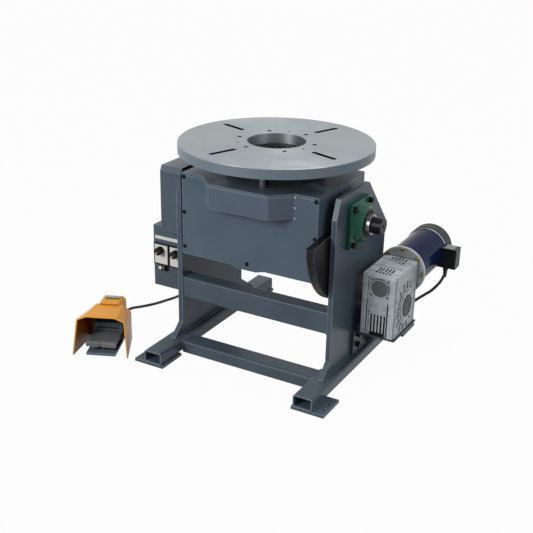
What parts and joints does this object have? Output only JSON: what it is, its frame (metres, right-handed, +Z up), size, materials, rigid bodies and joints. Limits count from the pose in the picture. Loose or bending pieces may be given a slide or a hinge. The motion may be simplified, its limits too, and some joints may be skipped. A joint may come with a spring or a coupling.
{
  "type": "welding positioner",
  "caption": "Two-axis welding positioner: a slotted round turntable on a body that tilts between two uprights on a floor frame, with gear drive, control box and foot switch.",
  "frame": {"origin": "on the floor, at the middle of the anchor holes in the foot plates", "axes": "+Z up, +X along the tilt axis towards the drive side, -Y towards the front, where the table tilts and the operator stands"},
  "size_m": [1.0671, 0.8287, 0.7113],
  "materials": {
    "frame_paint": "blue-grey machine paint, semi-gloss",
    "body_paint": "blue-grey machine paint, semi-gloss",
    "control_paint": "blue-grey machine paint on sheet steel",
    "shelf_paint": "dark grey-green paint",
    "bearing_paint": "green enamel on cast housings",
    "motor_paint": "dark blue paint",
    "cowl_paint": "dark grey paint",
    "gear_case": "die cast, bead blasted",
    "flange_metal": "turned",
    "table_steel": "face turned",
    "shaft_steel": "ground",
    "gear_steel": "blackened and oiled",
    "black_screw": "black oxide",
    "yellow_screw": "yellow zinc plated",
    "zinc": "zinc plated",
    "bronze": "cast bronze, cut teeth",
    "drive_paint": "grey paint",
    "cap_plastic": "moulded",
    "black_plastic": "moulded",
    "lid_plastic": "moulded",
    "white_plate": "printed plate",
    "button_plastic": "moulded",
    "cable_rubber": "extruded jacket",
    "guard_paint": "orange enamel on a casting",
    "pedal_metal": "cast, painted grey",
    "casing_metal": "cast, painted blue-grey",
    "spring_steel": "drawn wire"
  },
  "bodies": {
    "frame": {"left_runner": "frame_paint", "right_runner": "frame_paint", "foot_plates": "frame_paint", "lower_beam": "frame_paint", "upper_beam": "frame_paint", "left_upright": "frame_paint", "right_upright": "frame_paint", "left_bearing": "bearing_paint", "right_bearing": "bearing_paint", "frame_bolts": "black_screw", "grease_nipples": "zinc", "gearbox_shelf": "shelf_paint", "gearbox": "gear_case", "gearbox_caps": "cap_plastic", "drive_screws": "yellow_screw", "motor_flange": "flange_metal", "motor_shell": "motor_paint", "motor_cowl": "cowl_paint", "terminal_box": "black_plastic", "terminal_lid": "lid_plastic", "motor_cable": "cable_rubber", "cable_glands": "black_plastic", "bearing_cover": "control_paint", "control_box": "control_paint", "control_panel": "control_paint", "speed_modules": "black_plastic", "scale_plates": "white_plate", "switch_bezels": "black_plastic", "foot_base": "casing_metal", "foot_guard": "guard_paint", "pedal_spring": "spring_steel", "foot_cable": "cable_rubber", "foot_coil": "cable_rubber", "box_cable": "cable_rubber"},
    "tilt_body": {"tilt_housing": "body_paint", "top_plate": "body_paint", "front_cover": "body_paint", "hood": "body_paint", "body_screws": "black_screw", "trunnions": "shaft_steel", "inner_rings": "shaft_steel", "sector_gear": "gear_steel", "slew_ring": "drive_paint", "spin_motor": "drive_paint", "earth_brush": "zinc"},
    "tilt_output": {"tilt_pinion": "gear_steel", "output_shaft": "shaft_steel", "worm_wheel": "bronze"},
    "worm_drive": {"worm_shaft": "shaft_steel", "motor_rotor": "shaft_steel"},
    "turntable": {"table": "table_steel", "table_hub": "shaft_steel", "ring_gear": "gear_steel", "table_bolts": "black_screw"},
    "table_pinion": {"spin_pinion": "shaft_steel"},
    "speed_dial_left": {"left_dial": "black_plastic"},
    "speed_dial_right": {"right_dial": "black_plastic"},
    "mode_selector": {"selector": "black_plastic"},
    "start_button": {"push_button": "button_plastic"},
    "pedal": {"foot_pedal": "pedal_metal"}
  },
  "joints": [
    {"name": "tilt", "type": "hinge", "parent": "frame", "child": "tilt_body", "pos_m": [0, -0.062, 0.505], "axis": [1, 0, 0], "range_deg": [0, 90]},
    {"name": "tilt_output_turn", "type": "hinge", "parent": "frame", "child": "tilt_output", "pos_m": [0.3, 0.03853, 0.225], "axis": [1, 0, 0], "range_deg": [-400, 5]},
    {"name": "worm_turn", "type": "hinge", "parent": "frame", "child": "worm_drive", "pos_m": [0.36, 0, 0.3], "axis": [0, 1, 0], "range_deg": [-10, 3940]},
    {"name": "table_spin", "type": "hinge", "parent": "tilt_body", "child": "turntable", "pos_m": [0, -0.062, 0.65], "axis": [0, 0, 1], "continuous": true},
    {"name": "table_pinion_turn", "type": "hinge", "parent": "tilt_body", "child": "table_pinion", "pos_m": [0, -0.2, 0.59], "axis": [0, 0, 1], "continuous": true},
    {"name": "left_dial_turn", "type": "hinge", "parent": "frame", "child": "speed_dial_left", "pos_m": [-0.369, -0.16, 0.31], "axis": [0, 1, 0], "range_deg": [0, 280]},
    {"name": "right_dial_turn", "type": "hinge", "parent": "frame", "child": "speed_dial_right", "pos_m": [-0.308, -0.16, 0.31], "axis": [0, 1, 0], "range_deg": [0, 280]},
    {"name": "selector_turn", "type": "hinge", "parent": "frame", "child": "mode_selector", "pos_m": [-0.353, -0.16, 0.247], "axis": [0, 1, 0], "range_deg": [0, 60]},
    {"name": "button_press", "type": "slide", "parent": "frame", "child": "start_button", "axis": [0, 1, 0], "range_m": [0, 0.003], "stiffness_N_per_m": 400, "springref_m": -0.002},
    {"name": "pedal_press", "type": "hinge", "parent": "frame", "child": "pedal", "pos_m": [-0.49806, -0.28737, 0.037], "axis": [0.9171, 0.3987, 0], "range_deg": [0, 8], "stiffness_Nm_per_rad": 12, "springref_deg": -6.88, "deforming": ["pedal_spring"]}
  ],
  "couplings": [
    {"joint": "tilt_output_turn", "follows": "tilt", "ratio": -4.1739},
    {"joint": "worm_turn", "follows": "tilt", "ratio": 41.739},
    {"joint": "table_pinion_turn", "follows": "table_spin", "ratio": -4.1111}
  ]
}
